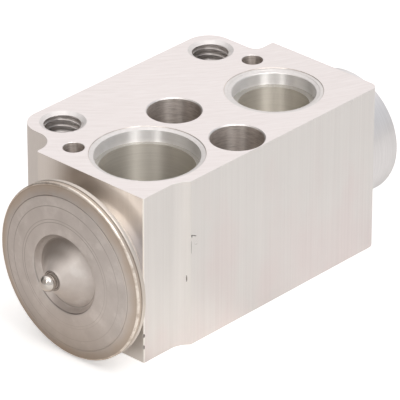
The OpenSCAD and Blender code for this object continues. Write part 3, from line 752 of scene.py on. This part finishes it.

# Power head, the cap. Stainless sheet pressed to a shallow dome, with a bowl and a cone in the middle. The
# rings of the press and the welding fixture carry fine dark lines of painted crease shade, and the weld at the
# rim left a brown heat tint. The lower part and the bowl carry painted shade, and the rim wear with a painted
# highlight.
rim_x = -head_end - 7.5
cap_t = 0.8
clamp_x = rim_x + 0.95
head_r = 17.3
head_inner_r = 12.6
rim_edge = 0.42
bevel_r = 15.1
bevel_x = rim_x - 0.55
crown_x = rim_x - 1.3
bowl_r = 7.7
bowl_floor_r = 6.9
cone_foot_r = 6.6
nub_x = rim_x - 4.3
nub_r = 1.9
bowl_ring = bowl_r - 0.03
press_rings = [(bevel_r, 0.14, 0.8), (13.15, 0.11, 0.62), (10.65, 0.12, 0.42), (10.1, 0.1, 0.6),
               (bowl_ring, 0.11, 0.95), (cone_foot_r + 0.15, 0.13, 0.45), (16.75, 0.07, 0.3),
               (nub_r - 0.02, 0.13, 1.0), (1.55, 0.12, 1.2)]


def dome_station(radius):
    """Station of the dome's outer face at a radius, between the bevel and the bowl."""
    along = (bevel_r - radius) / (bevel_r - bowl_r)
    return bevel_x + (crown_x - bevel_x) * (1 - (1 - along) ** 1.6)


def rounding(radius, station, size, start, end, steps):
    """Points of a small rounded edge, as radius and station."""
    return [(point.x, point.y) for point in arc(radius, station, size, start, end, steps)]


cap_profile = [(head_inner_r, clamp_x)] + rounding(head_r - 0.06, clamp_x - 0.06, 0.06, 90, 0, 3)
cap_profile += rounding(head_r - rim_edge, rim_x + rim_edge, rim_edge, 0, -80, 10)
cap_profile += [(16.3, rim_x - 0.14), (15.6, bevel_x + 0.17), (bevel_r + 0.14, bevel_x + 0.03),
                (bevel_r + 0.05, bevel_x + 0.06), (bevel_r - 0.05, bevel_x + 0.05)]
cap_profile += [(radius, dome_station(radius)) for radius in
                (bevel_r - 0.15 - (bevel_r - bowl_r - 0.45) * i / 24 for i in range(25))]
cap_profile += [(bowl_r + 0.16, crown_x + 0.02), (bowl_r + 0.04, crown_x + 0.08),
                (bowl_r - 0.05, crown_x + 0.2), (bowl_r - 0.2, crown_x + 0.48),
                (bowl_r - 0.4, crown_x + 0.82), (bowl_floor_r + 0.15, rim_x - 0.2),
                (bowl_floor_r, rim_x - 0.08), (bowl_floor_r - 0.16, rim_x - 0.05),
                (cone_foot_r, rim_x - 0.12), (cone_foot_r - 0.35, rim_x - 0.36)]
cap_profile += [(cone_foot_r - 0.35 - 4.2 * i / 12,
                 rim_x - 0.36 - 3.74 * i / 12 - 0.1 * math.sin(math.pi * i / 12)) for i in range(1, 13)]
cap_profile += [(nub_r + 0.05, nub_x + 0.06), (nub_r - 0.1, nub_x), (1.6, nub_x + 0.14), (0.6, nub_x + 0.14),
                (0.6, nub_x + 1.6), (cone_foot_r - 1.4, rim_x + cap_t), (bowl_floor_r + 0.2, rim_x + cap_t),
                (bowl_r + 0.4, crown_x + cap_t + 0.3), (bevel_r - 4, bevel_x + cap_t - 0.38),
                (12, bevel_x + cap_t)]
cap = lathe("pressed_cap", cap_profile, 256)
shade(cap, 24)


def off_axis_way(tree):
    """Direction away from the valve's axis, and the distance from it in metres."""
    flat = vector(tree, "MULTIPLY", vector(tree, "ADD", here(tree), (0, 0, -axis_z * mm)), (0, 1, 1))
    return vector(tree, "NORMALIZE", flat), measured(tree, "LENGTH", flat)


def tint_and_painted_shade(tree, colour):
    """Brown oxide patches by the rim, light scuffs, painted shade low down, painted crease shade in the rings.
    """
    way, length = off_axis_way(tree)
    blotch = noise(tree, here(tree), 240.0, 4.0, 0.6)
    scuffs = ramp(tree, blotch, 0.54, 0.66, 0.0, 0.45, soft=False)
    colour = blend_colour(tree, scuffs, colour, (0.76, 0.73, 0.71))
    reach = maths(tree, "MULTIPLY_ADD", blotch, 3.0 * mm, length)
    colour = blend_colour(tree, ramp(tree, reach, 15.9 * mm, 18.6 * mm), colour, (0.56, 0.48, 0.41))
    # Painted shade: the cap darkens towards its lower part.
    low = ramp(tree, height(tree), 13 * mm, 2 * mm, 0.0, 0.5)
    colour = blend_colour(tree, low, colour, (0.33, 0.29, 0.26))
    # Dark lines in the rings: painted crease shade, patchy, and weaker on their upper left side.
    worn = ramp(tree, blotch, 0.3, 0.6, 0.45, soft=False)
    near_side = measured(tree, "DOT_PRODUCT", way, (0, 0.9, 0.44))
    bowl_line_side_shade = maths(tree, "MULTIPLY", worn, ramp(tree, near_side, 0.95, 0.1, 0.25, soft=False))
    upper_side = measured(tree, "DOT_PRODUCT", way, (0, 0.6, 0.8))
    upper_line_side_shade = maths(tree, "MULTIPLY", worn, ramp(tree, upper_side, -0.6, 0.3, 0.35, soft=False))
    for radius, half, depth in press_rings:
        off = maths(tree, "ABSOLUTE", maths(tree, "SUBTRACT", length, radius * mm))
        kept = bowl_line_side_shade if radius == bowl_ring else upper_line_side_shade if radius > bowl_ring else worn
        line = maths(tree, "MULTIPLY", ramp(tree, off, half * mm, 0.0, 0.0, depth), kept)
        colour = blend_colour(tree, maths(tree, "MINIMUM", line, 1.0), colour, (0.13, 0.105, 0.09))
    return colour


def bowl_tint_and_shade(tree, colour):
    """The cap's tint, with painted shade in the bowl on the cone's upper left flank."""
    way, length = off_axis_way(tree)
    lean = math.radians(58)
    side = ramp(tree, measured(tree, "DOT_PRODUCT", way, (0, math.cos(lean), math.sin(lean))), 0.25, 0.9)
    inner = ramp(tree, length, 2.8 * mm, 4.8 * mm)
    wall = ramp(tree, length, 6.5 * mm, 7.1 * mm, 0.7, 0.15, soft=False)
    # Painted shade on the cone's upper left flank, inside the bowl.
    painted_bowl_shade = maths(tree, "MULTIPLY", maths(tree, "MULTIPLY", side, inner), wall)
    return blend_colour(tree, painted_bowl_shade, tint_and_painted_shade(tree, colour), (0.27, 0.235, 0.21))


def rubbed_through(tree, colour):
    """Ragged spots in which the rim keeps its brown tint."""
    kept = ramp(tree, noise(tree, here(tree), 480.0, 6.0, 0.7), 0.44, 0.62, soft=False)
    return blend_colour(tree, kept, colour, (0.60, 0.52, 0.45))


pressed = metal("pressed stainless steel", (0.58, 0.545, 0.525), (0.70, 0.665, 0.645), 0.47,
                straight(240, 240, 240), 0.002, lambda tree: off_axis_way(tree)[0], 0.2, 0.5, tint_and_painted_shade)
# The rim's bright cream is partly wear and partly a painted highlight, broken by ragged spots of brown tint.
rim_wear_and_highlight = metal("rubbed rim steel", (0.80, 0.73, 0.66), (0.93, 0.87, 0.80), 0.40, straight(300, 300, 300),
               0.03, patch=0.4, tint=rubbed_through)
matt = metal("matt pressed steel", (0.60, 0.555, 0.525), (0.70, 0.655, 0.625), 0.62, straight(240, 240, 240),
             0.002, patch=0.5, tint=bowl_tint_and_shade)
for finish in (pressed, rim_wear_and_highlight, matt):
    cap.data.materials.append(finish)
for face in cap.data.polygons:
    centre = face.center / mm
    off_axis = math.hypot(centre.y, centre.z - axis_z)
    at_rim = off_axis > head_r - rim_edge + 0.06 and centre.x < rim_x + rim_edge
    face.material_index = 1 if at_rim else 2 if off_axis < bowl_r - 0.1 else 0
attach(cap, "block")
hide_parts("head_cap")

# Power head, the housing. The lower shell, drawn from stainless sheet: its flange is welded to the cap's, and
# a threaded neck screws into the block over the O-ring.
flange_x = clamp_x + 0.2
shell_x = flange_x + 0.95
stop_x = -34.4
gas_r = 5.5
collar_r = 11.0
neck_r = 8.2
neck_end = 5.2 - head_end
housing_profile = [(head_inner_r, flange_x)] + rounding(head_r - 0.16, flange_x + 0.16, 0.16, -90, 0, 4)
housing_profile += rounding(head_r - 0.26, shell_x - 0.26, 0.26, 0, 90, 8)
housing_profile += [(15.1, shell_x), (14.75, shell_x + 0.12), (14.6, shell_x + 0.5), (14.0, shell_x + 2.2),
                    (11.8, -head_end - 1.9), (11.15, -head_end - 1.62), (collar_r, -head_end - 1.35),
                    (collar_r, -head_end - 0.01), (neck_r, -head_end - 0.01), (neck_r, neck_end - 0.5),
                    (neck_r - 0.5, neck_end), (gas_r, neck_end), (gas_r, stop_x), (12.2, stop_x)]
housing = lathe("head_housing_shell", housing_profile, 256)
neck_thread = thread_cut("neck_thread", neck_r - 0.05, neck_r + 0.52, neck_pitch, 2.2 - head_end,
                         5.1 - head_end, 96)
combine(housing, [(neck_thread, "UNION")])
shade(housing, 24)
shell_steel = metal("drawn stainless steel", (0.60, 0.545, 0.49), (0.74, 0.685, 0.63), 0.40,
                    straight(900, 120, 120), 0.002, (1, 0, 0), 0.5, 0.4)
# Painted light: the shell behind the flange is painted lighter, which the end wall mirrors.
back_steel_painted_light = metal("bright drawn steel", (0.86, 0.80, 0.74), (0.95, 0.89, 0.83), 0.60,
                   straight(900, 120, 120), 0.002)
housing.data.materials.append(shell_steel)
housing.data.materials.append(back_steel_painted_light)
for face in housing.data.polygons:
    face.material_index = int(face.center.x / mm > shell_x - 0.05)
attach(housing, "block")
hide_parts("head_housing")

# Charge ball. A polished steel ball, welded over the hole in the nub through which the head was filled.
# It sits a little way into the hole's mouth.
charge_ball_r = 1.6
charge_shape = Matrix.Translation(Vector((nub_x - 1.0, 0, axis_z))) @ Matrix.Scale(charge_ball_r, 4)
charge_ball = ball("charge_ball_polished", charge_shape, 4)
shade(charge_ball, 60)
polished = metal("polished steel", (0.62, 0.585, 0.55), (0.70, 0.665, 0.63), 0.12, straight(300, 300, 300),
                 0.0005)
charge_ball.data.materials.append(polished)
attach(charge_ball, "block")
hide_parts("charge_ball")

# Inner pieces that are turned, one profile each: the steel follower under the diaphragm, the aluminium
# sensing shaft in the suction passage, the ground rod, its retainer, the ball and its carrier. The diaphragm
# is pressed from thin steel and clamped between cap and housing.
touch = 0.02
follower_x = stop_x - 0.05 - 1.3
shaft_set = 1.3 + 1.8 - 2.2
shaft_x = follower_x + shaft_set
shaft_end_x = -port_x + suction_r - 0.05 - 1
shaft_l = shaft_end_x - shaft_x
shaft_bore_r = 1.22
rod_seat_d = 5
rod_x = shaft_end_x - rod_seat_d
ball_r = 2.5
cup_r = ball_r + touch
valve_ball_x = seat_x - orifice_r + ball_r * math.sqrt(2) + 0.85
carrier_set = 0.7
carrier_x = valve_ball_x + carrier_set
rod_l = valve_ball_x - ball_r - touch - rod_x
retainer_x = -7.65
turned_steel = metal("turned steel", (0.52, 0.505, 0.49), (0.68, 0.665, 0.65), 0.28, straight(2600, 120, 120),
                     0.002, (1, 0, 0), 0.6)
bright_steel = metal("ground steel", (0.66, 0.655, 0.65), (0.76, 0.755, 0.75), 0.16, straight(1800, 200, 200),
                     0.0006)
turned_shaft = metal("turned aluminium shaft", (0.74, 0.73, 0.71), (0.86, 0.85, 0.83), 0.30,
                     straight(2200, 90, 90), 0.004, (1, 0, 0), 0.6)


def turned_piece(name, node_name, start, profile, body, finish, segments=96):
    """One inner piece, turned about the valve's axis from a start, in the place of its CAD node."""
    made = lathe(name, [(radius, start + station) for radius, station in profile], segments)
    shade(made)
    made.data.materials.append(finish)
    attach(made, body)
    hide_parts(node_name)
    return made


turned_piece("follower_turned", "follower", follower_x, [
    (0, touch), (11.2, touch), (11.42, 0.1), (11.5, 0.3), (11.5, 1.24), (11.44, 1.3), (4.7, 1.3), (4.45, 1.4),
    (4.4, 1.6), (4.4, 2.95), (4.25, 3.1), (2.82, 3.1), (2.82, shaft_set - touch), (0, shaft_set - touch)],
    "valve_train", turned_steel, 144)
turned_piece("shaft_turned", "sensing_shaft", shaft_x, [
    (0, 0), (2.5, 0), (2.72, 0.08), (2.8, 0.3), (2.8, shaft_l - 1.65), (2.76, shaft_l - 1.5), (1.72, shaft_l),
    (shaft_bore_r, shaft_l), (shaft_bore_r, shaft_l - rod_seat_d - touch), (0, shaft_l - rod_seat_d - touch)],
    "valve_train", turned_shaft)
turned_piece("rod_ground", "push_rod", rod_x, [
    (0, 0), (1.0, 0), (1.2, 0.2), (1.2, rod_l - 0.2), (1.14, rod_l - 0.06), (1.0, rod_l), (0, rod_l)],
    "valve_train", bright_steel, 64)
turned_piece("retainer_turned", "rod_retainer", retainer_x, [
    (1.3, 0), (2.5, 0), (2.58, 0.08), (2.58, 0.62), (2.5, 0.7), (1.3, 0.7)],
    "block", turned_steel, 64)
cup_turns = [math.acos(carrier_set / cup_r) * i / 16 for i in range(17)]
turned_piece("carrier_turned", "ball_carrier", carrier_x, [
    (cup_r * math.sin(t), cup_r * math.cos(t) - carrier_set) for t in cup_turns] + [
    (4.0, 0), (4.3, 0.1), (4.4, 0.4), (4.4, 1.9), (4.3, 2), (2.2, 2), (2.2, 5.2), (2.1, 5.48),
    (1.8, 5.6), (0, 5.6)],
    "valve_train", turned_steel)
ball_turns = [math.pi * i / 48 for i in range(1, 48)]
turned_piece("ball_ground", "valve_ball", valve_ball_x, [(0, -ball_r)] + [
    (ball_r * math.sin(t), -ball_r * math.cos(t)) for t in ball_turns] + [(0, ball_r)],
    "valve_train", bright_steel)
diaphragm_t = 0.2
edge_l = clamp_x - follower_x
wave = [(0, -0.2), (9.4, -0.2), (9.8, -0.22), (10.45, -0.25), (10.75, -0.4), (11.05, -0.62), (11.4, -0.66),
        (11.7, -0.6), (12.1, -0.62), (head_inner_r, edge_l), (16.95, edge_l)]
diaphragm = turned_piece("diaphragm_pressed", "diaphragm", follower_x,
                         wave + [(radius, station + diaphragm_t) for radius, station in reversed(wave)],
                         "block", bright_steel, 192)
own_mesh(diaphragm)

# Inner pieces made of rubber. Three moulded black O-rings, which seal the head's neck, the push rod and the
# adjusting screw. They are drawn round, as they are before they are squeezed.
rubber, tree = material("black rubber")
specks = noise(tree, here(tree), 900.0, 3.0)
skin = ramp(tree, specks, 0.0, 1.0, 0.5, 0.72, soft=False)
bloom = blend_colour(tree, specks, (0.018, 0.018, 0.020), (0.040, 0.040, 0.043))
rough_skin = node(tree, "ShaderNodeBump", {
    "Height": specks, "Distance": 0.004 * mm, "Strength": 0.5}).outputs[0]
moulded = node(tree, "ShaderNodeBsdfPrincipled", {"Base Color": bloom, "Roughness": skin, "Normal": rough_skin})
node(tree, "ShaderNodeOutputMaterial", {"Surface": moulded.outputs[0]})
neck_ring = 0.72
rod_ring = (rod_pocket_r - guide_r) / 2 - touch
screw_ring = 0.66
screw_r = screw_bore_r - 0.05
screw_out = boss_x - 1.1
screw_in = screw_out - 7.5
groove_x = screw_in + 0.8
groove_w = 1.6
for name, node_name, radius, station, size, body, segments in (
        ("head_ring_rubber", "head_oring", (neck_r + neck_pocket_r) / 2, neck_pocket_d / 2 - head_end,
         neck_ring, "block", 128),
        ("rod_ring_rubber", "rod_oring", (rod_pocket_r + guide_r) / 2, rod_pocket_x - rod_ring - touch,
         rod_ring, "block", 64),
        ("screw_ring_rubber", "adjuster_oring", screw_r - screw_ring, groove_x + groove_w / 2, screw_ring,
         "adjuster_seal", 128)):
    turned_piece(name, node_name, station, rounding(radius, 0, size, 0, 360, 24)[:24], body, rubber,
                 segments)

# Damper. A ring pressed from spring steel sheet, with four legs that rub on the chamber's wall and so keep
# the ball from chattering. The coil spring clamps it to the carrier.
damper_t = 0.3
damper_x = carrier_x + 2 + touch
leg_r = chamber_r - 0.1
leg_l = 4.6
leg_angle = 26
damper = lathe("damper_pressed", [
    (2.25, damper_x), (4.2, damper_x), (4.2, damper_x + damper_t), (2.25, damper_x + damper_t)], 96)
section = [(3.2, 0), (leg_r - 0.25, 0), (leg_r - 0.07, 0.07), (leg_r, 0.25), (leg_r, leg_l - 0.1),
           (leg_r - 0.1, leg_l), (leg_r - damper_t, leg_l), (leg_r - damper_t, 0.42),
           (leg_r - damper_t - 0.12, damper_t), (3.2, damper_t)]
legs = []
for i in range(4):
    points, faces, sweep = [], [], 12
    for k in range(sweep + 1):
        t = math.radians(45 + 90 * i + leg_angle * k / sweep)
        points += [(damper_x + station, radius * math.sin(t), axis_z - radius * math.cos(t))
                   for radius, station in section]
    for k in range(sweep):
        faces += bridge(len(section), len(section) * k, len(section) * (k + 1))
    faces += [tuple(range(len(section))), tuple(sweep * len(section) + n for n in range(len(section)))]
    legs.append(solid(f"leg_{i}", points, faces))
combine(damper, [(leg, "UNION") for leg in legs])
shade(damper)
damper.data.materials.append(bright_steel)
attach(damper, "valve_train")
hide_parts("damper")

# Coil spring. Round spring wire with one closed coil at each end. It stands between the damper and the pocket
# in the adjusting screw, and holds the ball towards its seat.
wire_r = 0.5
coil_r = 3.7
spring_x = damper_x + damper_t + touch
spring_end_x = 33.48
spring_l = spring_end_x - spring_x - 2 * wire_r
closed = 2 * wire_r + touch
open_pitch = (spring_l - 4 * wire_r - 2 * touch) / 4
points, faces = [], []
coil_steps, wire_sides = 48, 16
for i in range(6 * coil_steps + 1):
    t = i / coil_steps
    rise = closed * t if t < 1 else spring_l - closed * (6 - t) if t > 5 else closed + open_pitch * (t - 1)
    a = math.tau * t
    for j in range(wire_sides):
        b = math.tau * j / wire_sides
        reach = coil_r + wire_r * math.cos(b)
        points.append((spring_x + wire_r + rise + wire_r * math.sin(b),
                       reach * math.cos(a), axis_z + reach * math.sin(a)))
for i in range(6 * coil_steps):
    faces += bridge(wire_sides, wire_sides * i, wire_sides * (i + 1))
faces += [tuple(range(wire_sides)), tuple(6 * coil_steps * wire_sides + j for j in range(wire_sides))]
spring = solid("spring_wound", points, faces)
shade(spring, 50)
wire_steel = metal("spring steel", (0.40, 0.385, 0.37), (0.55, 0.535, 0.52), 0.32, straight(500, 500, 500),
                   0.001)
spring.data.materials.append(wire_steel)
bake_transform(spring)
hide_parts("valve_spring")

# Adjusting screw. Brass, turned, with a fine thread in step with the boss's, a groove for its O-ring, a
# hexagon socket outside and a pocket for the spring inside.
groove_r = screw_r - 1.35
hex_r = 2.5 / math.cos(math.radians(30))
hex_d = 2.8
screw = lathe("screw_turned", [
    (4.6, screw_in), (screw_r - 0.3, screw_in), (screw_r, screw_in + 0.3), (screw_r, groove_x - 0.06),
    (screw_r - 0.06, groove_x), (groove_r, groove_x), (groove_r, groove_x + groove_w),
    (screw_r - 0.06, groove_x + groove_w), (screw_r, groove_x + groove_w + 0.06), (screw_r, screw_out - 0.4),
    (screw_r - 0.08, screw_out - 0.22), (screw_r - 0.4, screw_out), (3.3, screw_out), (3.0, screw_out - 0.3),
    (0, screw_out - 0.3), (0, screw_in + 3.3), (4.3, screw_in + 3.0), (4.6, screw_in + 2.8)], 192)
hexagon = [(hex_r * math.cos(math.radians(60 * i)), hex_r * math.sin(math.radians(60 * i))) for i in range(6)]
socket = solid("hexagon_cut", [(x, y, axis_z + z) for x in (screw_out - hex_d, screw_out + 1)
                               for y, z in hexagon], bridge(6, 0, 6) + [tuple(range(6)), tuple(range(6, 12))])
screw_thread = thread_cut("screw_thread", screw_r - 0.05, screw_r + screw_thread_d - 0.04, screw_pitch,
                          screw_bore_x + 4.6, screw_out - 0.75, 72)
combine(screw, [(screw_thread, "UNION"), (socket, "DIFFERENCE")])
shade(screw)
brass = metal("turned brass", (0.62, 0.44, 0.19), (0.80, 0.61, 0.32), 0.27, straight(1700, 260, 260), 0.003,
              (1, 0, 0), 0.3)
screw.data.materials.append(brass)
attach(screw, "adjuster")
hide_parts("adjusting_screw")
